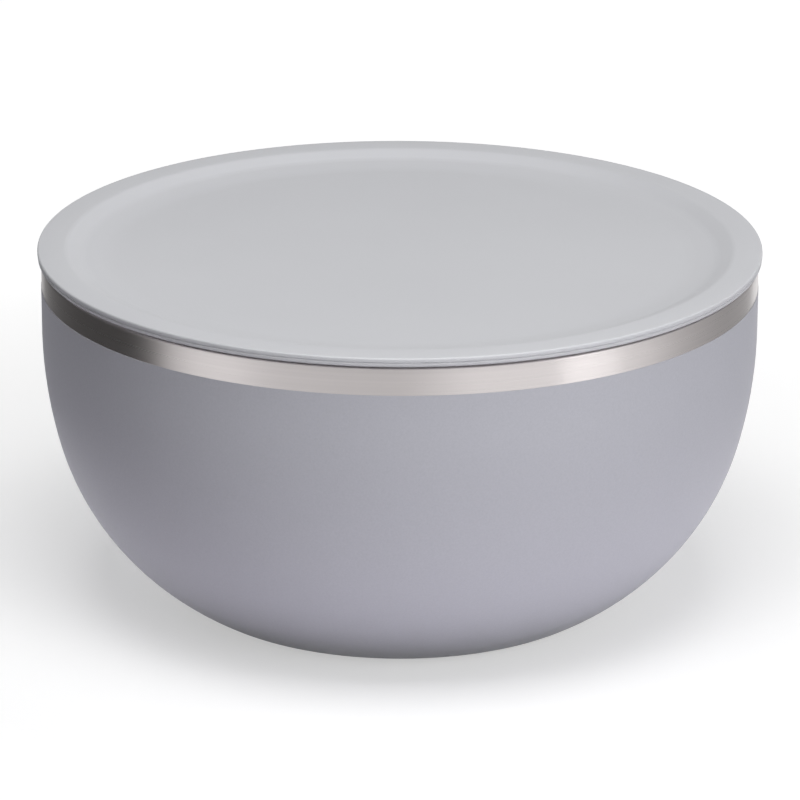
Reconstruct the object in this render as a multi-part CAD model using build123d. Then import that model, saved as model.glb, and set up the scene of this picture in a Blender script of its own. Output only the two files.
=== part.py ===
"""Insulated double-wall bowl with a lift-off lid: one solid for each physical piece."""

import math
import os

from build123d import *

# Driving dimensions in millimetres and degrees

# Overall
OVERALL_HEIGHT = 143.0  # foot to the top of the lid's rim
BOWL_RADIUS = 138.6  # bare steel band, outside
LID_OVERHANG = 1.4  # how far the lid stands out past the band
FOOT_DROP = 1.2  # how far the foot stands below the shell

# Outer shell
SHELL_WALL = 0.5
SHELL_BASE_RADIUS = 74.0  # where the base corner starts
SHELL_CORNER_RADIUS = 20.0
SHELL_CORNER_ANGLE = 30.0  # how far the corner turns before the side takes over
SHELL_STRAIGHT = 27.2  # upright wall, from the lip down
SHELL_SHARE = 1.9  # length of the lower side arc against the upper one

# Stepped base: rim, ledge for the foot, recess for the cover disc, evacuation port
BASE_RIM_WIDTH = 5.6
LEDGE_DEPTH = 1.2  # above the rim
LEDGE_MARGIN = 3.0  # bare ledge inside the foot
RECESS_DEPTH = 2.0  # above the ledge
STEP_FILLET = 0.25  # inside of a bend
PORT_RADIUS = 5.0
PORT_DEPTH = 1.4
PORT_HOLE_RADIUS = 1.0

# Inner liner
LINER_WALL = 0.5
LIP_WIDTH = 4.2  # band to the inside of the mouth
LIP_FILLET = 0.8  # the rolled lip, outside of the bend
LIP_TAIL = 0.4  # short upright end of the lip, down to the weld
LINER_BASE_GAP = 11.0  # vacuum space between the two bases
LINER_BASE_INSET = 14.0  # flat of the liner's base inside that of the shell
LINER_CORNER_RADIUS = 24.0
LINER_CORNER_ANGLE = 30.0
LINER_SHARE = 1.8
MOUTH_MARGIN = 3.5  # upright mouth wall below the lid's plug

# Powder coat
COAT_THICKNESS = 0.15
COAT_MARGIN = 1.0  # bare steel round the foot's ledge
BAND_HEIGHT = 10.4  # bare steel from the lip down to the edge of the coat

# Base pieces
DISC_THICKNESS = 0.6
DISC_CLEARANCE = 0.15
DISC_CHAMFER = 0.2
FOOT_WIDTH = 14.0
FOOT_CLEARANCE = 0.2
FOOT_FILLET = 0.4
PLUG_CLEARANCE = 0.05
GETTER_RADIUS = 6.0
GETTER_HEIGHT = 2.4
GETTER_WALL = 0.3
GETTER_OFFSET = 26.0  # from the bowl's axis
PELLET_HEIGHT = 1.6
PELLET_CLEARANCE = 0.1

# Lid cover
LID_WALL = 1.8
LID_RECESS = 4.5  # rim to the flat panel
LID_SLOPE_DROP = 3.0  # how much of that the steeper slope takes
LID_SLOPE_ANGLE = 25.0  # beside the rim
LID_DISH_ANGLE = 8.5  # beside the flat panel
LID_SHOULDER_FILLET = 5.0
LID_SLOPE_FILLET = 12.0
LID_DISH_FILLET = 40.0
LID_EDGE_FILLET = 0.7
COVER_CLEARANCE = 0.25  # from the cover's shoulder to the plug's bore

# Lid base
FLANGE_THICKNESS = 1.7
FLANGE_INSET = 0.15  # step at the seam in the lid's edge
FLANGE_FILLET = 0.9
LAND_DROP = 0.8  # land under the flange that sits on the lip, which leaves a gap outside it
LAND_INSET = 1.6  # from the band to the land's edge
PLUG_GAP = 2.5  # from the mouth to the plug's wall
PLUG_WALL = 1.6
AIR_GAP = 4.4  # between the cover and the panel
PANEL_THICKNESS = 1.8
RETAINER_WIDTH = 1.5  # bead that keeps the seal on the plug
RETAINER_HEIGHT = 1.3
RETAINER_RISE = 0.4  # from the panel's underside
RIB_RADII = (45.0, 95.0)  # rings that hold the cover off the panel
RIB_WIDTH = 1.6
GATE_RADIUS = 3.0
GATE_DEPTH = 0.4

# Lid seal
SEAL_THICKNESS = 1.1
SEAL_BORE_CLEARANCE = 0.05
SEAL_END_CLEARANCE = 0.2
SEAL_MOUTH_CLEARANCE = 0.25
FIN_THICKNESS = 0.7
FIN_RISE = 0.6  # how far a fin's tip stands above its root
FIN_PITCH = 3.0
FIN_START = 1.2  # lowest fin's root above the foot of the seal
FIN_COUNT = 2

# Levels and radii that follow from them
LID_RADIUS = BOWL_RADIUS + LID_OVERHANG
FLANGE_TOP_Z = OVERALL_HEIGHT - LID_WALL
FLANGE_Z = FLANGE_TOP_Z - FLANGE_THICKNESS
LIP_Z = FLANGE_Z - LAND_DROP
COVER_FLOOR_Z = OVERALL_HEIGHT - LID_RECESS
COVER_UNDERSIDE_Z = COVER_FLOOR_Z - LID_WALL
PANEL_Z = COVER_UNDERSIDE_Z - AIR_GAP
PLUG_Z = PANEL_Z - PANEL_THICKNESS
RETAINER_Z = PLUG_Z + RETAINER_RISE
SEAT_Z = RETAINER_Z + RETAINER_HEIGHT
WELD_Z = LIP_Z - LIP_FILLET - LIP_TAIL
COAT_Z = LIP_Z - BAND_HEIGHT
BASE_Z = FOOT_DROP
LEDGE_Z = BASE_Z + LEDGE_DEPTH
RECESS_Z = LEDGE_Z + RECESS_DEPTH
PORT_Z = RECESS_Z + PORT_DEPTH
LINER_BASE_Z = BASE_Z + SHELL_WALL + LINER_BASE_GAP + LINER_WALL
LINER_BASE_RADIUS = SHELL_BASE_RADIUS - LINER_BASE_INSET
LEDGE_RADIUS = SHELL_BASE_RADIUS - BASE_RIM_WIDTH
FOOT_RADIUS = LEDGE_RADIUS - STEP_FILLET - FOOT_CLEARANCE
RECESS_RADIUS = FOOT_RADIUS - FOOT_WIDTH - LEDGE_MARGIN
MOUTH_RADIUS = BOWL_RADIUS - LIP_WIDTH
PLUG_RADIUS = MOUTH_RADIUS - PLUG_GAP
PLUG_BORE = PLUG_RADIUS - PLUG_WALL


def side_arcs(base_radius, base_z, corner_radius, corner_angle, wall_radius, wall_z, share):
    """Radii and turns of the three tangent arcs that lead from a flat base to an upright wall."""
    turn = math.radians(corner_angle)
    start = Vector(
        base_radius + corner_radius * math.sin(turn),
        base_z + corner_radius * (1 - math.cos(turn)),
    )
    along = Vector(math.cos(turn), math.sin(turn))
    upright = Vector(0, 1)
    reach = Vector(wall_radius, wall_z) - start
    a = 2 * share * (1 - along.dot(upright))
    b = 2 * reach.dot(along * share + upright)
    upper = (math.sqrt(b * b + 4 * a * reach.dot(reach)) - b) / (2 * a)
    lower = share * upper
    middle = reach - upright * upper - along * lower
    join = math.atan2(middle.Y, middle.X)
    lower_turn = join - turn
    upper_turn = math.pi / 2 - join
    return (
        (corner_radius, corner_angle),
        (lower / math.tan(lower_turn / 2), math.degrees(lower_turn)),
        (upper / math.tan(upper_turn / 2), math.degrees(upper_turn)),
    )


SHELL_ARCS = side_arcs(
    SHELL_BASE_RADIUS,
    BASE_Z,
    SHELL_CORNER_RADIUS,
    SHELL_CORNER_ANGLE,
    BOWL_RADIUS,
    LIP_Z - SHELL_STRAIGHT,
    SHELL_SHARE,
)
LINER_ARCS = side_arcs(
    LINER_BASE_RADIUS,
    LINER_BASE_Z,
    LINER_CORNER_RADIUS,
    LINER_CORNER_ANGLE,
    MOUTH_RADIUS,
    PLUG_Z - MOUTH_MARGIN,
    LINER_SHARE,
)


def draw_side(base_radius, base_z, arcs, inset=0.0):
    """Draw the arcs one after another from the flat base, and return where they end."""
    point = (base_radius, base_z + inset)
    heading = (1, 0)
    for radius, turn in arcs:
        arc = JernArc(start=point, tangent=heading, radius=radius - inset, arc_size=turn)
        point = arc @ 1
        heading = arc % 1
    return point


def draw_shell(inset, top_z):
    """One face of the outer shell's sheet, from the axis out and up to a level on the wall."""
    sharp = STEP_FILLET + inset
    round_back = STEP_FILLET + SHELL_WALL - inset
    FilletPolyline(
        (0, PORT_Z + inset),
        (PORT_RADIUS + inset, PORT_Z + inset),
        (PORT_RADIUS + inset, RECESS_Z + inset),
        (RECESS_RADIUS + inset, RECESS_Z + inset),
        (RECESS_RADIUS + inset, LEDGE_Z + inset),
        (LEDGE_RADIUS + inset, LEDGE_Z + inset),
        (LEDGE_RADIUS + inset, BASE_Z + inset),
        (SHELL_BASE_RADIUS, BASE_Z + inset),
        radius=(sharp, round_back, sharp, round_back, sharp, round_back),
    )
    top = draw_side(SHELL_BASE_RADIUS, BASE_Z, SHELL_ARCS, inset)
    Line(top, (BOWL_RADIUS - inset, top_z))


def draw_liner(outset):
    """One face of the liner's sheet, from the axis out, up the wall and over the lip."""
    lip = LIP_FILLET - outset
    mouth = MOUTH_RADIUS + outset
    lip_z = LIP_Z - LIP_FILLET
    Line((0, LINER_BASE_Z - outset), (LINER_BASE_RADIUS, LINER_BASE_Z - outset))
    top = draw_side(LINER_BASE_RADIUS, LINER_BASE_Z, LINER_ARCS, -outset)
    Line(top, (mouth, lip_z))
    JernArc((mouth, lip_z), (0, 1), lip, -90)
    Line((MOUTH_RADIUS + LIP_FILLET, LIP_Z - outset), (BOWL_RADIUS - LIP_FILLET, LIP_Z - outset))
    JernArc((BOWL_RADIUS - LIP_FILLET, LIP_Z - outset), (1, 0), lip, -90)
    Line((BOWL_RADIUS - outset, lip_z), (BOWL_RADIUS - outset, WELD_Z))


def draw_coat(outset):
    """One face of the coat, from the foot's ledge out and up to the bare band."""
    base_z = BASE_Z - outset
    Line((LEDGE_RADIUS + COAT_MARGIN, base_z), (SHELL_BASE_RADIUS, base_z))
    top = draw_side(SHELL_BASE_RADIUS, BASE_Z, SHELL_ARCS, -outset)
    Line(top, (BOWL_RADIUS + outset, COAT_Z))


def lowered(corner, before, after, drop):
    """A corner between two slopes, moved to the face that lies so far under them."""
    middle = (before + after) / 2
    return corner + Vector(math.sin(middle), -math.cos(middle)) * (drop / math.cos((after - before) / 2))


def draw_cover(drop):
    """One face of the lid's cover, from the axis out to the edge."""
    steep = math.radians(LID_SLOPE_ANGLE)
    gentle = math.radians(LID_DISH_ANGLE)
    rim = PLUG_BORE - COVER_CLEARANCE
    dish_drop = LID_RECESS - LID_SLOPE_DROP
    shoulder = Vector(rim - LID_SHOULDER_FILLET * math.tan(steep / 2), OVERALL_HEIGHT)
    foot = shoulder - Vector(LID_SLOPE_DROP / math.tan(steep), LID_SLOPE_DROP)
    panel = foot - Vector(dish_drop / math.tan(gentle), dish_drop)
    FilletPolyline(
        (0, COVER_FLOOR_Z - drop),
        lowered(panel, 0, gentle, drop),
        lowered(foot, gentle, steep, drop),
        lowered(shoulder, steep, 0, drop),
        (LID_RADIUS, OVERALL_HEIGHT - drop),
        radius=(LID_DISH_FILLET + drop, LID_SLOPE_FILLET + drop, LID_SHOULDER_FILLET - drop),
    )


def turned(section):
    """Turn a section in the XZ plane once round the bowl's axis."""
    return revolve(section.sketch, axis=Axis.Z)


def ring(inner, outer, low, high):
    """A plain ring or disc between two radii and two levels."""
    with BuildSketch(Plane.XZ) as section:
        with Locations(((inner + outer) / 2, (low + high) / 2)):
            Rectangle(outer - inner, high - low)
    return turned(section)


def upright_cylinder(radius, height):
    """A cylinder that stands on the origin."""
    return Cylinder(radius, height, align=(Align.CENTER, Align.CENTER, Align.MIN))


def make_outer_shell():
    """Pressed outer wall with its stepped base and the evacuation port."""
    with BuildSketch(Plane.XZ) as section:
        with BuildLine():
            draw_shell(0, WELD_Z)
            draw_shell(SHELL_WALL, WELD_Z)
            Line((0, PORT_Z), (0, PORT_Z + SHELL_WALL))
            Line((BOWL_RADIUS - SHELL_WALL, WELD_Z), (BOWL_RADIUS, WELD_Z))
        make_face()
    hole = Pos(0, 0, PORT_Z - SHELL_WALL) * upright_cylinder(PORT_HOLE_RADIUS, 3 * SHELL_WALL)
    return turned(section) - hole


def make_inner_liner():
    """Food-side wall, rolled over at the lip and welded to the outer shell."""
    with BuildSketch(Plane.XZ) as section:
        with BuildLine():
            draw_liner(0)
            draw_liner(LINER_WALL)
            Line((0, LINER_BASE_Z - LINER_WALL), (0, LINER_BASE_Z))
            Line((BOWL_RADIUS - LINER_WALL, WELD_Z), (BOWL_RADIUS, WELD_Z))
        make_face()
    return turned(section)


def make_powder_coat():
    """Coat on the outer shell, from the bare band down to the foot's ledge."""
    start = LEDGE_RADIUS + COAT_MARGIN
    with BuildSketch(Plane.XZ) as section:
        with BuildLine():
            draw_coat(0)
            draw_coat(COAT_THICKNESS)
            Line((start, BASE_Z - COAT_THICKNESS), (start, BASE_Z))
            Line((BOWL_RADIUS, COAT_Z), (BOWL_RADIUS + COAT_THICKNESS, COAT_Z))
        make_face()
    return turned(section)


def make_base_disc():
    """Cover plate in the base recess."""
    radius = RECESS_RADIUS - STEP_FILLET - DISC_CLEARANCE
    disc = ring(0, radius, RECESS_Z - DISC_THICKNESS, RECESS_Z)
    return chamfer(disc.edges().group_by(Axis.Z)[0], DISC_CHAMFER)


def make_vacuum_plug():
    """Fused bead that closes the evacuation hole."""
    bead = ring(0, PORT_RADIUS - STEP_FILLET - PLUG_CLEARANCE, RECESS_Z, PORT_Z)
    nib = ring(0, PORT_HOLE_RADIUS - PLUG_CLEARANCE, PORT_Z, PORT_Z + SHELL_WALL)
    return bead + nib


def make_getter_cup():
    """Small open cup on the shell's base, inside the vacuum space."""
    cup = upright_cylinder(GETTER_RADIUS, GETTER_HEIGHT)
    bore = upright_cylinder(GETTER_RADIUS - GETTER_WALL, GETTER_HEIGHT)
    hollow = cup - Pos(0, 0, GETTER_WALL) * bore
    return Pos(GETTER_OFFSET, 0, RECESS_Z + SHELL_WALL) * hollow


def make_getter_pellet():
    """Pellet that takes up the last of the gas."""
    pellet = upright_cylinder(GETTER_RADIUS - GETTER_WALL - PELLET_CLEARANCE, PELLET_HEIGHT)
    return Pos(GETTER_OFFSET, 0, RECESS_Z + SHELL_WALL + GETTER_WALL) * pellet


def make_foot_ring():
    """Soft ring under the base ledge, which the bowl stands on."""
    foot = ring(FOOT_RADIUS - FOOT_WIDTH, FOOT_RADIUS, 0, LEDGE_Z)
    return fillet(foot.edges().filter_by(GeomType.CIRCLE).group_by(Axis.Z)[0], FOOT_FILLET)


def make_lid_top():
    """Moulded cover: flat rim, rounded shoulder and a dished panel."""
    with BuildSketch(Plane.XZ) as section:
        with BuildLine():
            draw_cover(0)
            draw_cover(LID_WALL)
            Line((0, COVER_UNDERSIDE_Z), (0, COVER_FLOOR_Z))
            Line((LID_RADIUS, FLANGE_TOP_Z), (LID_RADIUS, OVERALL_HEIGHT))
        make_face()
    cover = turned(section)
    rims = cover.edges().filter_by(GeomType.CIRCLE).group_by(Axis.Z)[-1]
    return fillet(rims.sort_by(SortBy.RADIUS)[-1], LID_EDGE_FILLET)


def make_lid_base():
    """Underside of the lid: flange with its land, plug wall with its seal seat, and closing panel."""
    flange_radius = LID_RADIUS - FLANGE_INSET
    land_radius = BOWL_RADIUS - LAND_INSET
    retainer_radius = PLUG_RADIUS + RETAINER_WIDTH
    with BuildSketch(Plane.XZ) as section:
        with BuildLine():
            Polyline(
                (0, PANEL_Z),
                (PLUG_BORE, PANEL_Z),
                (PLUG_BORE, FLANGE_TOP_Z),
                (flange_radius, FLANGE_TOP_Z),
                (flange_radius, FLANGE_Z),
                (land_radius, FLANGE_Z),
                (land_radius, LIP_Z),
                (PLUG_RADIUS, LIP_Z),
                (PLUG_RADIUS, SEAT_Z),
                (retainer_radius, SEAT_Z),
                (retainer_radius, RETAINER_Z + RETAINER_HEIGHT / 2),
                (PLUG_RADIUS, PLUG_Z),
                (GATE_RADIUS, PLUG_Z),
                (GATE_RADIUS, PLUG_Z + GATE_DEPTH),
                (0, PLUG_Z + GATE_DEPTH),
                close=True,
            )
        make_face()
    base = turned(section)
    rims = base.edges().filter_by(GeomType.CIRCLE).filter_by_position(Axis.Z, FLANGE_Z, FLANGE_Z)
    base = fillet(rims.sort_by(SortBy.RADIUS)[-1], FLANGE_FILLET)
    for radius in RIB_RADII:
        inner = radius - RIB_WIDTH / 2
        base += ring(inner, inner + RIB_WIDTH, PANEL_Z, COVER_UNDERSIDE_Z)
    return base


def make_lid_gasket():
    """Soft seal round the plug, with fins that wipe the mouth."""
    bore = PLUG_RADIUS + SEAL_BORE_CLEARANCE
    root = bore + SEAL_THICKNESS
    tip = MOUTH_RADIUS - SEAL_MOUTH_CLEARANCE
    body = ring(bore, root, SEAT_Z, LIP_Z - SEAL_END_CLEARANCE)
    for index in range(FIN_COUNT):
        low = SEAT_Z + FIN_START + index * FIN_PITCH
        with BuildSketch(Plane.XZ) as section:
            with BuildLine():
                Polyline(
                    (bore, low),
                    (root, low),
                    (tip, low + FIN_RISE),
                    (tip, low + FIN_RISE + FIN_THICKNESS),
                    (root, low + FIN_THICKNESS),
                    (bore, low + FIN_THICKNESS),
                    close=True,
                )
            make_face()
        body += turned(section)
    return body


def brimful_litres(level):
    """What the bowl holds up to a level in its mouth."""
    with BuildSketch(Plane.XZ) as section:
        with BuildLine():
            Line((0, LINER_BASE_Z), (LINER_BASE_RADIUS, LINER_BASE_Z))
            top = draw_side(LINER_BASE_RADIUS, LINER_BASE_Z, LINER_ARCS)
            Polyline(top, (MOUTH_RADIUS, level), (0, level), (0, LINER_BASE_Z))
        make_face()
    return turned(section).volume / 1e6


PIECES = {
    "outer_shell": make_outer_shell,
    "inner_liner": make_inner_liner,
    "powder_coat": make_powder_coat,
    "base_disc": make_base_disc,
    "vacuum_plug": make_vacuum_plug,
    "getter_cup": make_getter_cup,
    "getter_pellet": make_getter_pellet,
    "foot_ring": make_foot_ring,
    "lid_top": make_lid_top,
    "lid_base": make_lid_base,
    "lid_gasket": make_lid_gasket,
}

os.makedirs("parts", exist_ok=True)
for node, make in PIECES.items():
    export_step(make(), f"parts/{node}.step")
print(f"holds {brimful_litres(LIP_Z):.2f} litres to the lip")
print(f"holds {brimful_litres(PLUG_Z):.2f} litres under the lid")
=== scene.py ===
import math

import bmesh
import bpy
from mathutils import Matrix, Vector


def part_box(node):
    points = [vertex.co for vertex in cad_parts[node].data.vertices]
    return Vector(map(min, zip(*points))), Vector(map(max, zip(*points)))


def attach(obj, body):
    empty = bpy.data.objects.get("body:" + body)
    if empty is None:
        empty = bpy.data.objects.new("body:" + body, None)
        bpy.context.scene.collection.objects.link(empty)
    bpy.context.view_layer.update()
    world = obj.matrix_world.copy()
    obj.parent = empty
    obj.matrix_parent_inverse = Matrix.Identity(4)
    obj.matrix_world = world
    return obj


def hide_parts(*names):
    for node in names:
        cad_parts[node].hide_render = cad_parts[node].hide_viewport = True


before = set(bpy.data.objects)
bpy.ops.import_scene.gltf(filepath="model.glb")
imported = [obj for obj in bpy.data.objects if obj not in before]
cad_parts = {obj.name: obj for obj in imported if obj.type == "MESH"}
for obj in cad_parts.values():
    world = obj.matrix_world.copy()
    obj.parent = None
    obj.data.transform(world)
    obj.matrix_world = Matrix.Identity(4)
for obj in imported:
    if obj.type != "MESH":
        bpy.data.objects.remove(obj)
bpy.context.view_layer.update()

# Lengths are in millimetres until a mesh or a light is made
MM = 0.001
AROUND = 192  # steps in a full turn
SIDE_STEPS = (8, 26, 12)  # steps in the three arcs of a bowl's side
CORNER_STEPS = 6  # steps in a rounded corner
SHARP_EDGE = math.radians(38)
MERGE_DISTANCE = 1e-6  # metres


def low(node):
    """Height of a CAD node's lowest point."""
    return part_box(node)[0].z / MM


def high(node):
    """Height of a CAD node's highest point."""
    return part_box(node)[1].z / MM


def reach(node):
    """Radius of a CAD node that goes round the axis."""
    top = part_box(node)[1]
    return min(top.x, top.y) / MM


# Outer shell and its coat
SHELL_WALL = 0.5
SHELL_BASE_RADIUS = 74.0
SHELL_CORNER = (20.0, 30.0)  # radius, and how far it turns in degrees
SHELL_STRAIGHT = 27.2
SHELL_SHARE = 1.9  # tangent of the lower arc, as a multiple of the upper one's
LEDGE_RADIUS = 68.4
RECESS_RADIUS = 50.95
PORT_RADIUS = 5.0
PORT_HOLE_RADIUS = 1.0
PORT_DEPTH = 1.4
STEP_ROUNDING = 0.25
COAT_INSET = 1.0  # from the ledge's wall to the coat's edge under the base

# Inner liner
LINER_WALL = 0.5
LINER_BASE_RADIUS = 60.0
LINER_CORNER = (24.0, 30.0)
LINER_STRAIGHT = 11.7
LINER_SHARE = 1.8
MOUTH_RADIUS = 134.4
LIP_ROUNDING = 0.8

# Base disc and foot ring
DISC_TOP_ROUNDING = 0.1
DISC_ROUNDING = 0.2
FOOT_WIDTH = 14.0
FOOT_TOP_ROUNDING = 0.2
FOOT_ROUNDING = 0.4
FOOT_JOIN = 1.0  # width of the stretch that closes its section

# Lid
LID_WALL = 1.8
LID_SHOULDER = (128.94, 0.0, 5.0)  # radius, drop below the top, and rounding
LID_SLOPE_FOOT = (122.51, 3.0, 12.0)
LID_PANEL_EDGE = (112.47, 4.5, 40.0)
LID_EDGE_ROUNDING = 0.7
SEAM_ROUNDING = 0.4
FLANGE_THICKNESS = 1.7
FLANGE_ROUNDING = 0.9
LAND_INSET = 1.6  # from the band to the land that sits on the lip
PLUG_RADIUS = 131.9
PLUG_WALL = 1.6
PANEL_THICKNESS = 1.8
PANEL_ROUNDING = 0.8
RETAINER_WIDTH = 1.5
RETAINER_HEIGHT = 1.3
RETAINER_RISE = 0.4
GATE_RADIUS = 3.0
GATE_DEPTH = 0.4
BORE_ROUNDING = 0.1
LAND_ROUNDING = 0.1
PLUG_ROOT_ROUNDING = 0.3
RETAINER_ROUNDING = 0.2
GATE_EDGE_ROUNDING = 0.3
GATE_ROUNDING = 0.2

# Seal
SEAL_CLEARANCE = 0.05
SEAL_WALL = 1.1
SEAL_ROUNDING = 0.2
SEAL_TOP_ROUNDING = 0.3
SEAL_JOIN = (1.0, 1.5)  # heights above its foot of the stretch that closes its section
FIN_RISES = (1.2, 4.2)  # where the two fins leave the wall, above its foot
FIN_LIFT = 0.6
FIN_THICKNESS = 0.7
FIN_TIP_ROUNDING = 0.25

# Levels and radii that the pieces share
FLOOR_TOP = 0.0
LIP = high("inner_liner")
BASE = low("outer_shell")
LEDGE = high("foot_ring")
RECESS = high("base_disc")
WELD = high("outer_shell")
LID_TOP = high("lid_top")
FLANGE_TOP = high("lid_base")
PLUG = low("lid_base")
BAND_RADIUS = reach("outer_shell")
LID_RADIUS = reach("lid_top")


def start(mesh, radius, height):
    """First point of a section, which lies in the XZ plane."""
    return mesh.verts.new((radius * MM, 0, height * MM))


def line(mesh, tip, radius, height):
    """Draw a straight stretch from the tip and return the new tip."""
    point = start(mesh, radius, height)
    mesh.edges.new((tip, point))
    return point


def arc(mesh, tip, heading, radius, turn, steps=CORNER_STEPS):
    """Draw an arc that leaves the tip along heading and turns left, or right if turn is negative."""
    side = math.copysign(radius * MM, turn)
    centre = tip.co + Vector((-math.sin(heading), 0, math.cos(heading))) * side
    drawn = bmesh.ops.spin(
        mesh, geom=[tip], cent=centre, axis=(0, -1, 0), angle=turn, steps=steps
    )
    return next(item for item in drawn["geom_last"] if isinstance(item, bmesh.types.BMVert))


def path(mesh, corners):
    """Draw straight stretches through (radius, height, rounding) corners and round them."""
    points = [start(mesh, radius, height) for radius, height, _ in corners]
    for here, there in zip(points, points[1:]):
        mesh.edges.new((here, there))
    for index, (_, _, rounding) in enumerate(corners):
        if rounding:
            round_corner(mesh, points[index - 1 : index + 2], corners[index - 1 : index + 2])
    return points[0], points[-1]


def round_corner(mesh, points, corners):
    """Round the middle one of three corners of a section."""
    before, here, after = (Vector((radius, height)) for radius, height, _ in corners)
    turn = (here - before).angle(after - here)
    bmesh.ops.bevel(
        mesh,
        geom=[points[1]],
        offset=corners[1][2] * math.tan(turn / 2) * MM,
        offset_type="OFFSET",
        segments=CORNER_STEPS,
        profile=0.5,
        affect="VERTICES",
        material=-1,
    )


def side_arcs(base_radius, base, corner, wall_radius, wall, share):
    """The tangent arcs, as (radius, turn), that lead from a flat base to an upright wall."""
    corner_radius, degrees = corner
    turn = math.radians(degrees)
    along = Vector((math.cos(turn), math.sin(turn)))
    upright = Vector((0, 1))
    begin = Vector((base_radius, base + corner_radius)) + corner_radius * Vector((along.y, -along.x))
    gap = Vector((wall_radius, wall)) - begin
    # The upper arc's tangent length, where the lower arc's is share times as long
    a = 2 * share * (1 - along.dot(upright))
    b = 2 * gap.dot(share * along + upright)
    upper = (math.sqrt(b * b + 4 * a * gap.dot(gap)) - b) / (2 * a)
    lower = share * upper
    middle = gap - upper * upright - lower * along
    join = math.atan2(middle.y, middle.x)
    lower_turn = join - turn
    upper_turn = math.pi / 2 - join
    return (
        (corner_radius, turn),
        (lower / math.tan(lower_turn / 2), lower_turn),
        (upper / math.tan(upper_turn / 2), upper_turn),
    )


def draw_side(mesh, tip, arcs, inset):
    """Draw the arcs of a bowl's side from the end of its flat base."""
    heading = 0.0
    for (radius, turn), steps in zip(arcs, SIDE_STEPS):
        tip = arc(mesh, tip, heading, radius - inset, turn, steps)
        heading += turn
    return tip


SHELL_ARCS = side_arcs(
    SHELL_BASE_RADIUS, BASE, SHELL_CORNER, BAND_RADIUS, LIP - SHELL_STRAIGHT, SHELL_SHARE
)
LINER_BASE = low("inner_liner") + LINER_WALL
LINER_ARCS = side_arcs(
    LINER_BASE_RADIUS, LINER_BASE, LINER_CORNER, MOUTH_RADIUS, LIP - LINER_STRAIGHT, LINER_SHARE
)


def turned(mesh, name, node, body, material):
    """Turn a section once round the axis, and put the piece in the place of its CAD node."""
    bmesh.ops.spin(
        mesh,
        geom=mesh.verts[:] + mesh.edges[:],
        cent=(0, 0, 0),
        axis=(0, 0, 1),
        angle=2 * math.pi,
        steps=AROUND,
        use_merge=True,
    )
    bmesh.ops.remove_doubles(mesh, verts=mesh.verts, dist=MERGE_DISTANCE)
    bmesh.ops.recalc_face_normals(mesh, faces=mesh.faces)
    for face in mesh.faces:
        face.smooth = True
    for edge in mesh.edges:
        edge.smooth = edge.calc_face_angle(0.0) < SHARP_EDGE
    data = bpy.data.meshes.new(name)
    mesh.to_mesh(data)
    mesh.free()
    piece = bpy.data.objects.new(name, data)
    bpy.context.scene.collection.objects.link(piece)
    data.materials.append(material)
    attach(piece, body)
    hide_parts(node)


def draw_shell_face(mesh, inset):
    """One face of the outer shell's sheet, from the evacuation hole to the weld."""
    near = STEP_ROUNDING + inset
    far = STEP_ROUNDING + SHELL_WALL - inset
    port = RECESS + PORT_DEPTH
    first, tip = path(
        mesh,
        [
            (PORT_HOLE_RADIUS, port + inset, 0),
            (PORT_RADIUS + inset, port + inset, near),
            (PORT_RADIUS + inset, RECESS + inset, far),
            (RECESS_RADIUS + inset, RECESS + inset, near),
            (RECESS_RADIUS + inset, LEDGE + inset, far),
            (LEDGE_RADIUS + inset, LEDGE + inset, near),
            (LEDGE_RADIUS + inset, BASE + inset, far),
            (SHELL_BASE_RADIUS, BASE + inset, 0),
        ],
    )
    tip = draw_side(mesh, tip, SHELL_ARCS, inset)
    return first, line(mesh, tip, BAND_RADIUS - inset, WELD)


def make_outer_shell(steel):
    """Pressed outer wall with its bare band and stepped base."""
    mesh = bmesh.new()
    outside = draw_shell_face(mesh, 0.0)
    inside = draw_shell_face(mesh, SHELL_WALL)
    for here, there in zip(outside, inside):
        mesh.edges.new((here, there))
    turned(mesh, "shell_wall", "outer_shell", "bowl", steel)


def draw_coat_face(mesh, outset):
    """One face of the coat, from the base rim up to the bare band."""
    first = start(mesh, LEDGE_RADIUS + COAT_INSET, BASE - outset)
    tip = line(mesh, first, SHELL_BASE_RADIUS, BASE - outset)
    tip = draw_side(mesh, tip, SHELL_ARCS, -outset)
    return first, line(mesh, tip, BAND_RADIUS + outset, high("powder_coat"))


def make_coat(paint):
    """Powder coat on the shell, with its edge at the bare band."""
    mesh = bmesh.new()
    outside = draw_coat_face(mesh, BASE - low("powder_coat"))
    inside = draw_coat_face(mesh, 0.0)
    for here, there in zip(outside, inside):
        mesh.edges.new((here, there))
    turned(mesh, "coat_skin", "powder_coat", "bowl", paint)


def draw_liner_face(mesh, outset):
    """One face of the liner's sheet, from the axis out, up the wall and over the lip."""
    first = start(mesh, 0, LINER_BASE - outset)
    tip = line(mesh, first, LINER_BASE_RADIUS, LINER_BASE - outset)
    tip = draw_side(mesh, tip, LINER_ARCS, -outset)
    tip = line(mesh, tip, MOUTH_RADIUS + outset, LIP - LIP_ROUNDING)
    quarter = -math.pi / 2
    tip = arc(mesh, tip, math.pi / 2, LIP_ROUNDING - outset, quarter)
    tip = line(mesh, tip, BAND_RADIUS - LIP_ROUNDING, LIP - outset)
    tip = arc(mesh, tip, 0.0, LIP_ROUNDING - outset, quarter)
    return line(mesh, tip, BAND_RADIUS - outset, WELD)


def make_liner(steel):
    """Food-side wall, rolled over at the lip."""
    mesh = bmesh.new()
    inside = draw_liner_face(mesh, 0.0)
    outside = draw_liner_face(mesh, LINER_WALL)
    mesh.edges.new((inside, outside))
    turned(mesh, "liner_wall", "inner_liner", "bowl", steel)


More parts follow.
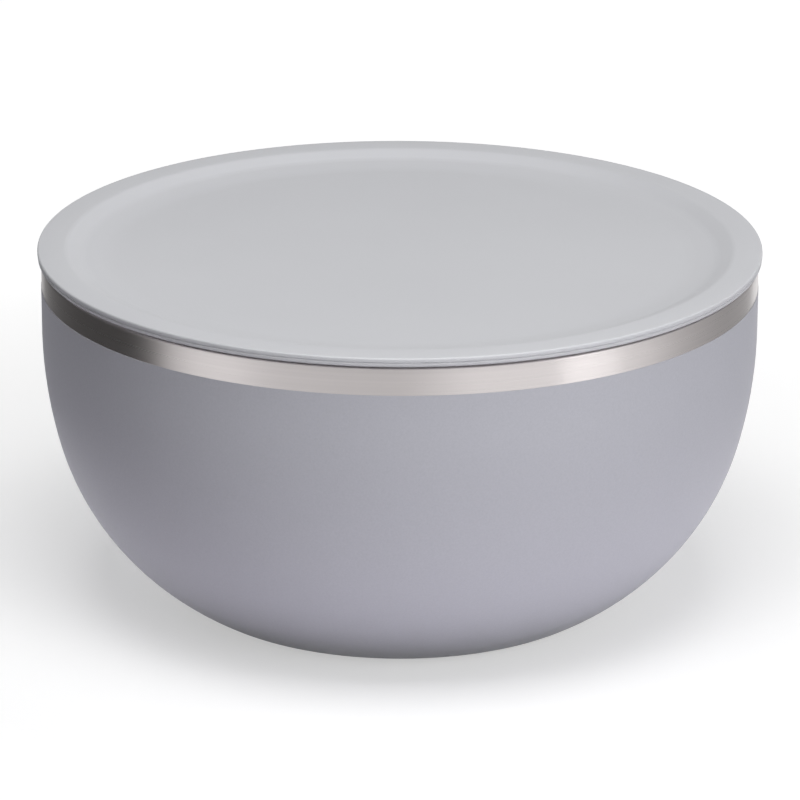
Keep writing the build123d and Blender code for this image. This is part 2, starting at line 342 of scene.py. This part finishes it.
def make_base_disc(steel):
    """Cover plate in the base recess, with a pressed rim."""
    mesh = bmesh.new()
    edge = reach("base_disc")
    bottom = low("base_disc")
    path(
        mesh,
        [
            (0, RECESS, 0),
            (edge, RECESS, DISC_TOP_ROUNDING),
            (edge, bottom, DISC_ROUNDING),
            (0, bottom, 0),
        ],
    )
    turned(mesh, "base_plate", "base_disc", "bowl", steel)


def make_foot(rubber):
    """Soft ring that the bowl stands on."""
    mesh = bmesh.new()
    outer = reach("foot_ring")
    inner = outer - FOOT_WIDTH
    middle = (inner + outer) / 2
    first, last = path(
        mesh,
        [
            (middle, LEDGE, 0),
            (outer, LEDGE, FOOT_TOP_ROUNDING),
            (outer, FLOOR_TOP, FOOT_ROUNDING),
            (inner, FLOOR_TOP, FOOT_ROUNDING),
            (inner, LEDGE, FOOT_TOP_ROUNDING),
            (middle - FOOT_JOIN, LEDGE, 0),
        ],
    )
    mesh.edges.new((last, first))
    turned(mesh, "foot", "foot_ring", "bowl", rubber)


def lid_recess(depth):
    """Corners of the lid's dished panel, from the middle out, on a face so deep in the sheet."""
    corners = (LID_PANEL_EDGE, LID_SLOPE_FOOT, LID_SHOULDER)
    slopes = [0.0]
    for inner, outer in zip(corners, corners[1:]):
        slopes.append(math.atan2(inner[1] - outer[1], outer[0] - inner[0]))
    slopes.append(0.0)
    face = [(0, LID_TOP - LID_PANEL_EDGE[1] - depth, 0)]
    for (radius, drop, rounding), before, after in zip(corners, slopes, slopes[1:]):
        middle = (before + after) / 2
        offset = depth / math.cos((after - before) / 2)
        grown = rounding + math.copysign(depth, after - before)
        across = radius + offset * math.sin(middle)
        height = LID_TOP - drop - offset * math.cos(middle)
        face.append((across, height, grown))
    return face


def make_lid_cover(plastic):
    """Moulded cover with a flat rim, a rounded shoulder and a dished panel."""
    mesh = bmesh.new()
    rim = [(LID_RADIUS, LID_TOP, LID_EDGE_ROUNDING), (LID_RADIUS, FLANGE_TOP, SEAM_ROUNDING)]
    path(mesh, lid_recess(0.0) + rim + lid_recess(LID_WALL)[::-1])
    turned(mesh, "lid_cover", "lid_top", "lid", plastic)


def make_lid_underside(plastic):
    """Lower moulding of the lid: flange and land, plug wall with the seal's seat, closing panel."""
    mesh = bmesh.new()
    flange = reach("lid_base")
    flange_bottom = FLANGE_TOP - FLANGE_THICKNESS
    land = BAND_RADIUS - LAND_INSET
    bore = PLUG_RADIUS - PLUG_WALL
    panel = PLUG + PANEL_THICKNESS
    seat = PLUG + RETAINER_RISE + RETAINER_HEIGHT
    retainer = PLUG_RADIUS + RETAINER_WIDTH
    path(
        mesh,
        [
            (0, panel, 0),
            (bore, panel, PANEL_ROUNDING),
            (bore, FLANGE_TOP, BORE_ROUNDING),
            (flange, FLANGE_TOP, SEAM_ROUNDING),
            (flange, flange_bottom, FLANGE_ROUNDING),
            (land, flange_bottom, LAND_ROUNDING),
            (land, LIP, LAND_ROUNDING),
            (PLUG_RADIUS, LIP, PLUG_ROOT_ROUNDING),
            (PLUG_RADIUS, seat, RETAINER_ROUNDING),
            (retainer, seat, RETAINER_ROUNDING),
            (retainer, seat - RETAINER_HEIGHT / 2, RETAINER_ROUNDING),
            (PLUG_RADIUS, PLUG, PANEL_ROUNDING),
            (GATE_RADIUS, PLUG, GATE_EDGE_ROUNDING),
            (GATE_RADIUS, PLUG + GATE_DEPTH, GATE_ROUNDING),
            (0, PLUG + GATE_DEPTH, 0),
        ],
    )
    turned(mesh, "lid_underside", "lid_base", "lid", plastic)


def make_seal(silicone):
    """Soft seal round the plug, with two rounded fins."""
    mesh = bmesh.new()
    bore = PLUG_RADIUS + SEAL_CLEARANCE
    root = bore + SEAL_WALL
    tip = reach("lid_gasket")
    foot = low("lid_gasket")
    top = high("lid_gasket")
    begin, end = SEAL_JOIN
    corners = [
        (bore, foot + begin, 0),
        (bore, foot, SEAL_ROUNDING),
        (root, foot, SEAL_ROUNDING),
    ]
    for rise in FIN_RISES:
        fin = foot + rise
        corners += [
            (root, fin, SEAL_ROUNDING),
            (tip, fin + FIN_LIFT, SEAL_ROUNDING),
            (tip, fin + FIN_LIFT + FIN_THICKNESS, FIN_TIP_ROUNDING),
            (root, fin + FIN_THICKNESS, SEAL_ROUNDING),
        ]
    corners += [
        (root, top, SEAL_TOP_ROUNDING),
        (bore, top, SEAL_ROUNDING),
        (bore, foot + end, 0),
    ]
    first, last = path(mesh, corners)
    mesh.edges.new((last, first))
    turned(mesh, "seal", "lid_gasket", "lid", silicone)


# Finishes: colours from dark to light, grains to the metre, bumps as strength and metres
COAT_COLOURS = ((0.425, 0.428, 0.47), (0.455, 0.458, 0.5))
COAT_GRAIN = 1300
COAT_DRIFT = 14
COAT_ROUGHNESS = (0.5, 0.56)
COAT_BUMP = (0.35, 0.00012)
LID_COLOURS = ((0.56, 0.565, 0.59), (0.58, 0.585, 0.61))
LID_GRAIN = 2200
LID_DRIFT = 9
LID_ROUGHNESS = (0.46, 0.54)
LID_BUMP = (0.12, 0.00008)
STEEL_COLOUR = (0.66, 0.62, 0.617)
DISC_COLOUR = (0.6, 0.595, 0.585)
SHELL_ROUGHNESS = 0.3
LINER_ROUGHNESS = 0.4
DISC_ROUGHNESS = 0.36
BRUSH_FINE = (7, 7, 5200)  # strokes to the metre along X, Y and Z
BRUSH_BROAD = (5, 5, 900)
BRUSH_SHADE = 0.95
BRUSH_SPREAD = 0.03
BRUSH_STRETCH = 0.8
BRUSH_TURN = 0.25
BRUSH_BUMP = (0.08, 0.00002)
FOOT_COLOURS = ((0.2, 0.2, 0.215), (0.25, 0.25, 0.265))
FOOT_ROUGHNESS = 0.65
SEAL_COLOURS = ((0.56, 0.56, 0.57), (0.62, 0.62, 0.63))
SEAL_ROUGHNESS = 0.45
RUBBER_BLOOM = 60
RUBBER_GRAIN = 1600
RUBBER_SPREAD = 0.05
RUBBER_BUMP = (0.1, 0.00005)
GLASS_COLOURS = ((0.05, 0.055, 0.06), (0.11, 0.115, 0.12))
GLASS_SWIRL = 500
GLASS_ROUGHNESS = 0.12
ALLOY_COLOURS = ((0.07, 0.07, 0.07), (0.16, 0.155, 0.15))
ALLOY_GRAIN = 3000
ALLOY_METALLIC = 0.6
ALLOY_ROUGHNESS = 0.7
ALLOY_BUMP = (0.4, 0.0001)
PLAIN_DETAIL = 2.0
RICH_DETAIL = 3.0
NOISE_ROUGHNESS = 0.55


def new_material(name):
    """A node material, with its tree and its shader."""
    material = bpy.data.materials.new(name)
    material.use_nodes = True
    tree = material.node_tree
    return material, tree, tree.nodes["Principled BSDF"]


def add(tree, kind, inputs=None, **settings):
    """One node with its settings and its plain input values."""
    node = tree.nodes.new(kind)
    for name, value in settings.items():
        setattr(node, name, value)
    for name, value in (inputs or {}).items():
        node.inputs[name].default_value = value
    return node


def object_grain(tree, scale, detail=PLAIN_DETAIL, stretch=(1, 1, 1)):
    """Noise on the piece's own coordinates, with so many grains to the metre."""
    place = add(tree, "ShaderNodeTexCoord")
    mapping = add(tree, "ShaderNodeMapping", {"Scale": stretch})
    look = {"Scale": scale, "Detail": detail, "Roughness": NOISE_ROUGHNESS}
    noise = add(tree, "ShaderNodeTexNoise", look)
    tree.links.new(place.outputs["Object"], mapping.inputs["Vector"])
    tree.links.new(mapping.outputs["Vector"], noise.inputs["Vector"])
    return noise.outputs["Fac"]


def between(tree, factor, low_end, high_end, dark=0.3, light=0.7):
    """A value that follows a pattern between two ends."""
    spread = add(
        tree,
        "ShaderNodeMapRange",
        {"From Min": dark, "From Max": light, "To Min": low_end, "To Max": high_end},
    )
    tree.links.new(factor, spread.inputs["Value"])
    return spread.outputs["Result"]


def tint(tree, pattern, colours):
    """A colour that follows a pattern from a dark colour to a light one."""
    dark, light = colours
    factor = between(tree, pattern, 0.0, 1.0)
    mix = add(tree, "ShaderNodeMix", data_type="RGBA")
    mix.inputs["A"].default_value = (*dark, 1)
    mix.inputs["B"].default_value = (*light, 1)
    tree.links.new(factor, mix.inputs["Factor"])
    return mix.outputs["Result"]


def graded(tree, factor, stops):
    """A colour that goes through (place, colour) stops."""
    ramp = add(tree, "ShaderNodeValToRGB")
    tree.links.new(factor, ramp.inputs["Fac"])
    marks = ramp.color_ramp.elements
    while len(marks) < len(stops):
        marks.new(1.0)
    for mark, (place, colour) in zip(marks, stops):
        mark.position = place
        mark.color = (*colour, 1)
    return ramp.outputs["Color"]


def bump(tree, shader, height, strength, distance):
    """Raise the surface by a pattern."""
    node = add(tree, "ShaderNodeBump", {"Strength": strength, "Distance": distance})
    tree.links.new(height, node.inputs["Height"])
    tree.links.new(node.outputs["Normal"], shader.inputs["Normal"])


def make_coat_paint():
    """Grey powder coat with a fine pebbled grain."""
    material, tree, shader = new_material("powder_coat_grey")
    grain = object_grain(tree, COAT_GRAIN, RICH_DETAIL)
    drift = object_grain(tree, COAT_DRIFT)
    tree.links.new(tint(tree, grain, COAT_COLOURS), shader.inputs["Base Color"])
    tree.links.new(between(tree, drift, *COAT_ROUGHNESS), shader.inputs["Roughness"])
    bump(tree, shader, grain, *COAT_BUMP)
    return material


def make_lid_plastic():
    """Light grey moulded plastic with a fine matte texture."""
    material, tree, shader = new_material("lid_plastic_grey")
    grain = object_grain(tree, LID_GRAIN)
    drift = object_grain(tree, LID_DRIFT)
    tree.links.new(tint(tree, drift, LID_COLOURS), shader.inputs["Base Color"])
    tree.links.new(between(tree, grain, *LID_ROUGHNESS), shader.inputs["Roughness"])
    bump(tree, shader, grain, *LID_BUMP)
    return material


def make_brushed_steel(name, roughness, colour=STEEL_COLOUR):
    """Stainless sheet, brushed round the axis."""
    material, tree, shader = new_material(name)
    fine = object_grain(tree, 1.0, RICH_DETAIL, BRUSH_FINE)
    broad = object_grain(tree, 1.0, PLAIN_DETAIL, BRUSH_BROAD)
    dark = tuple(BRUSH_SHADE * channel for channel in colour)
    ends = (roughness - BRUSH_SPREAD, roughness + BRUSH_SPREAD)
    tree.links.new(tint(tree, broad, (dark, colour)), shader.inputs["Base Color"])
    tree.links.new(between(tree, fine, *ends), shader.inputs["Roughness"])
    shader.inputs["Metallic"].default_value = 1.0
    shader.inputs["Anisotropic"].default_value = BRUSH_STRETCH
    shader.inputs["Anisotropic Rotation"].default_value = BRUSH_TURN
    tangent = add(tree, "ShaderNodeTangent", direction_type="RADIAL", axis="Z")
    tree.links.new(tangent.outputs["Tangent"], shader.inputs["Tangent"])
    bump(tree, shader, fine, *BRUSH_BUMP)
    return material


def make_rubber(name, colours, roughness):
    """Soft rubber with a slight bloom."""
    material, tree, shader = new_material(name)
    bloom = object_grain(tree, RUBBER_BLOOM, RICH_DETAIL)
    grain = object_grain(tree, RUBBER_GRAIN)
    ends = (roughness - RUBBER_SPREAD, roughness + RUBBER_SPREAD)
    tree.links.new(tint(tree, bloom, colours), shader.inputs["Base Color"])
    tree.links.new(between(tree, grain, *ends), shader.inputs["Roughness"])
    bump(tree, shader, grain, *RUBBER_BUMP)
    return material


def make_bead_glass():
    """Dark fused glass."""
    material, tree, shader = new_material("bead_glass")
    swirl = object_grain(tree, GLASS_SWIRL, RICH_DETAIL)
    tree.links.new(tint(tree, swirl, GLASS_COLOURS), shader.inputs["Base Color"])
    shader.inputs["Roughness"].default_value = GLASS_ROUGHNESS
    return material


def make_getter_alloy():
    """Dark pressed metal powder."""
    material, tree, shader = new_material("getter_alloy")
    grain = object_grain(tree, ALLOY_GRAIN, RICH_DETAIL)
    tree.links.new(tint(tree, grain, ALLOY_COLOURS), shader.inputs["Base Color"])
    shader.inputs["Metallic"].default_value = ALLOY_METALLIC
    shader.inputs["Roughness"].default_value = ALLOY_ROUGHNESS
    bump(tree, shader, grain, *ALLOY_BUMP)
    return material


def paint_node(node, material):
    """Give a CAD node that stays in sight its material."""
    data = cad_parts[node].data
    data.materials.clear()
    data.materials.append(material)


def make_pieces():
    """Every piece with its finish."""
    steel = make_brushed_steel("brushed_steel", SHELL_ROUGHNESS)
    liner_steel = make_brushed_steel("liner_steel", LINER_ROUGHNESS)
    disc_steel = make_brushed_steel("disc_steel", DISC_ROUGHNESS, DISC_COLOUR)
    plastic = make_lid_plastic()
    make_outer_shell(steel)
    make_coat(make_coat_paint())
    make_liner(liner_steel)
    make_base_disc(disc_steel)
    make_foot(make_rubber("foot_rubber", FOOT_COLOURS, FOOT_ROUGHNESS))
    make_lid_cover(plastic)
    make_lid_underside(plastic)
    make_seal(make_rubber("seal_silicone", SEAL_COLOURS, SEAL_ROUGHNESS))
    paint_node("vacuum_plug", make_bead_glass())
    paint_node("getter_cup", disc_steel)
    paint_node("getter_pellet", make_getter_alloy())


# Camera, fitted to the photograph
IMAGE_SIZE = 800
FOCAL_PIXELS = 5117.0
CAMERA_DISTANCE = 2000.0
CAMERA_ELEVATION = math.radians(19.23)
CAMERA_ROLL = math.radians(0.2)
AIM_HEIGHT = 78.4
AXIS_SHIFT = 0.6  # pixels that the axis stands left of the middle
SENSOR_WIDTH = 36.0


def make_camera():
    """Long lens, a little above the lid."""
    data = bpy.data.cameras.new("camera")
    data.sensor_width = SENSOR_WIDTH
    data.lens = FOCAL_PIXELS / IMAGE_SIZE * SENSOR_WIDTH
    camera = bpy.data.objects.new("camera", data)
    bpy.context.scene.collection.objects.link(camera)
    back = Vector((0, -math.cos(CAMERA_ELEVATION), math.sin(CAMERA_ELEVATION)))
    camera.location = (Vector((0, 0, AIM_HEIGHT)) + back * CAMERA_DISTANCE) * MM
    camera.rotation_euler = (math.pi / 2 - CAMERA_ELEVATION, 0, 0)
    camera.rotation_euler.rotate_axis("Z", CAMERA_ROLL)
    data.shift_x = AXIS_SHIFT / IMAGE_SIZE
    bpy.context.scene.camera = camera


# Studio
FLOOR_SIZE = 12000.0
# Painted bounce light and shade, set by distance: a dark floor colour under the bowl darkens its
# bottom edge, a bright violet ring lights its lower flank, black farther off
UNDER_PAINTED_SHADE = (0.03, 0.03, 0.03)  # what the floor sends back to the bowl from under it
NEAR_PAINTED_BOUNCE = (0.95, 0.91, 1.0)  # from round it
FAR_PAINTED_SHADE = (0.0, 0.0, 0.0)  # from farther off
PAINTED_BOUNCE_STEPS = (  # by distance from the axis
    (100.0, UNDER_PAINTED_SHADE),
    (148.0, NEAR_PAINTED_BOUNCE),
    (275.0, NEAR_PAINTED_BOUNCE),
    (350.0, FAR_PAINTED_SHADE),
)
FLOOR_SEEN = (0.6, 0.6, 0.6)  # what the camera and the steel see
FLOOR_ROUGHNESS = 0.9
NEAR_GLOW = 0.46  # what is added to that near the bowl and far off
FAR_GLOW = 0.72
NEAR_FLOOR = 200.0
FAR_FLOOR = 480.0
WORLD_LIGHT = 0.02
CARD_RADIUS = 250.0
CARD_HEIGHT = 520.0
CARD_STEPS = 48
# Painted reflections: what the glowing cards show in the steel by degrees from the camera, dark on
# the left and none of it over white
LEFT_REFLECTION_SHADES = (
    (-131, 0.5),
    (-123, 0.23),
    (-112, 0.13),
    (-96, 0.08),
    (-69, 0.05),
    (-62, 0.2),
    (-56, 0.74),
    (-48, 1.0),
    (-39, 1.0),
    (-33, 0.85),
    (-28, 0.77),
    (-11, 0.69),
    (1, 0.68),
    (17, 1.0),
    (38, 1.0),
)
RIGHT_REFLECTION_SHADES = (
    (54, 1.0),
    (62, 0.92),
    (69, 0.73),
    (77, 0.58),
    (86, 0.48),
    (97, 0.39),
    (121, 0.47),
)
SIDE_DISTANCE = 1600
HIGH_DISTANCE = 1500
BOX = (1200, 1000)  # width and height of a softbox
SQUARE = (900, 900)
STRIP = (1200, 120)
# Two low softboxes on the right of the camera, one over the bowl, and low strips behind it:
# degrees round from the camera, degrees up, distance, size, watts, and whether steel shows it
LIGHTS = (
    ("front_softbox", 29, 16, SIDE_DISTANCE, BOX, 10.6, False),
    ("side_softbox", 45, 16, SIDE_DISTANCE, BOX, 5.2, True),
    ("high_softbox", 0, 71, HIGH_DISTANCE, SQUARE, 17.3, True),
    ("left_strip", -128, -1, SIDE_DISTANCE, STRIP, 10.0, False),
    ("right_strip", 128, -1, SIDE_DISTANCE, STRIP, 9.5, False),
    ("back_strip", 180, -1, SIDE_DISTANCE, STRIP, 10.0, False),
)


def sees_background(tree):
    """One for a ray from the camera, or one that a shiny or clear surface sends on."""
    rays = add(tree, "ShaderNodeLightPath")
    first = add(tree, "ShaderNodeMath", operation="MAXIMUM")
    second = add(tree, "ShaderNodeMath", operation="MAXIMUM")
    tree.links.new(rays.outputs["Is Camera Ray"], first.inputs[0])
    tree.links.new(rays.outputs["Is Glossy Ray"], first.inputs[1])
    tree.links.new(first.outputs[0], second.inputs[0])
    tree.links.new(rays.outputs["Is Transmission Ray"], second.inputs[1])
    return second.outputs[0]


def make_world():
    """White to the eye, with a plain soft light."""
    world = bpy.data.worlds.new("studio")
    world.use_nodes = True
    tree = world.node_tree
    background = tree.nodes["Background"]
    background.inputs["Color"].default_value = (1, 1, 1, 1)
    tree.links.new(
        between(tree, sees_background(tree), WORLD_LIGHT, 1.0, 0.0, 1.0),
        background.inputs["Strength"],
    )
    bpy.context.scene.world = world


def stage_object(mesh, name, material):
    """A thing that stands round the bowl and isn't part of it."""
    data = bpy.data.meshes.new(name)
    mesh.to_mesh(data)
    mesh.free()
    data.materials.append(material)
    thing = bpy.data.objects.new(name, data)
    bpy.context.scene.collection.objects.link(thing)
    return thing


def floor_distance(tree):
    """Metres from the bowl's axis."""
    place = add(tree, "ShaderNodeTexCoord")
    length = add(tree, "ShaderNodeVectorMath", operation="LENGTH")
    tree.links.new(place.outputs["Object"], length.inputs[0])
    return length.outputs["Value"]


def make_floor():
    """Plain pale floor that takes the shadow and runs out into white, with painted bounce light and
    shade: the colour it sends back to the bowl is set by distance.
    """
    material, tree, shader = new_material("floor_white")
    seen = sees_background(tree)
    distance = floor_distance(tree)
    colour = add(tree, "ShaderNodeMix", data_type="RGBA")
    colour.inputs["B"].default_value = (*FLOOR_SEEN, 1)
    # painted bounce light and shade: the colour the floor bounces onto the bowl, by distance from
    # the axis
    painted_bounce_rings = [(radius * MM, bounce) for radius, bounce in PAINTED_BOUNCE_STEPS]
    tree.links.new(graded(tree, distance, painted_bounce_rings), colour.inputs["A"])
    tree.links.new(seen, colour.inputs["Factor"])
    tree.links.new(colour.outputs["Result"], shader.inputs["Base Color"])
    shader.inputs["Roughness"].default_value = FLOOR_ROUGHNESS
    shader.inputs["Specular IOR Level"].default_value = 0.0
    shader.inputs["Emission Color"].default_value = (1, 1, 1, 1)
    glow = add(tree, "ShaderNodeMath", operation="MULTIPLY")
    tree.links.new(seen, glow.inputs[0])
    ends = (NEAR_FLOOR * MM, FAR_FLOOR * MM)
    tree.links.new(between(tree, distance, NEAR_GLOW, FAR_GLOW, *ends), glow.inputs[1])
    tree.links.new(glow.outputs[0], shader.inputs["Emission Strength"])
    mesh = bmesh.new()
    bmesh.ops.create_grid(mesh, x_segments=1, y_segments=1, size=FLOOR_SIZE / 2 * MM)
    stage_object(mesh, "floor", material)


def make_card(name, shades):
    """A curved glowing card that only shows in the steel as a painted reflection, shaded by
    (bearing, shade) stops.
    """
    material, tree, shader = new_material(name)
    shader.inputs["Base Color"].default_value = (0, 0, 0, 1)
    shader.inputs["Specular IOR Level"].default_value = 0.0
    # painted reflection: the card glows and is seen only in shiny surfaces
    shader.inputs["Emission Strength"].default_value = 1.0
    place = add(tree, "ShaderNodeTexCoord")
    facing = add(tree, "ShaderNodeMapping", {"Rotation": (0, 0, math.pi / 2)})
    bearing = add(tree, "ShaderNodeTexGradient", gradient_type="RADIAL")
    tree.links.new(place.outputs["Object"], facing.inputs["Vector"])
    tree.links.new(facing.outputs["Vector"], bearing.inputs["Vector"])
    stops = [(0.5 + degrees / 360, (shade, shade, shade)) for degrees, shade in shades]
    tree.links.new(graded(tree, bearing.outputs["Fac"], stops), shader.inputs["Emission Color"])
    first, last = shades[0][0], shades[-1][0]
    begin = math.radians(first - 90)
    turn = math.radians(last - first)
    mesh = bmesh.new()
    foot = mesh.verts.new(Vector((math.cos(begin), math.sin(begin), 0)) * CARD_RADIUS * MM)
    top = mesh.verts.new(foot.co + Vector((0, 0, CARD_HEIGHT * MM)))
    edge = mesh.edges.new((foot, top))
    bmesh.ops.spin(
        mesh,
        geom=[foot, top, edge],
        cent=(0, 0, 0),
        axis=(0, 0, 1),
        angle=turn,
        steps=CARD_STEPS,
    )
    card = stage_object(mesh, name, material)
    card.visible_camera = False
    card.visible_diffuse = False
    card.visible_shadow = False
    card.visible_transmission = False


def make_cards():
    """A glowing card on each side that paints the light and dark stretches reflected in the steel,
    with the side light between them.
    """
    make_card("left_reflection_card", LEFT_REFLECTION_SHADES)
    make_card("right_reflection_card", RIGHT_REFLECTION_SHADES)


def make_softbox(name, azimuth, elevation, distance, size, power, shows):
    """A soft light of some width and height that faces the bowl, and may show in shiny surfaces."""
    data = bpy.data.lights.new(name, "AREA")
    data.energy = power
    data.shape = "RECTANGLE"
    data.size = size[0] * MM
    data.size_y = size[1] * MM
    lamp = bpy.data.objects.new(name, data)
    bpy.context.scene.collection.objects.link(lamp)
    a, e = math.radians(azimuth), math.radians(elevation)
    away = Vector((math.sin(a) * math.cos(e), -math.cos(a) * math.cos(e), math.sin(e)))
    lamp.location = (Vector((0, 0, AIM_HEIGHT)) + away * distance) * MM
    lamp.rotation_euler = away.to_track_quat("Z", "Y").to_euler()
    lamp.visible_camera = False
    lamp.visible_glossy = shows


def make_lights():
    """Every light of the studio."""
    for light in LIGHTS:
        make_softbox(*light)


make_pieces()
make_camera()
make_world()
make_floor()
make_cards()
make_lights()
bpy.context.scene.view_settings.view_transform = "Standard"
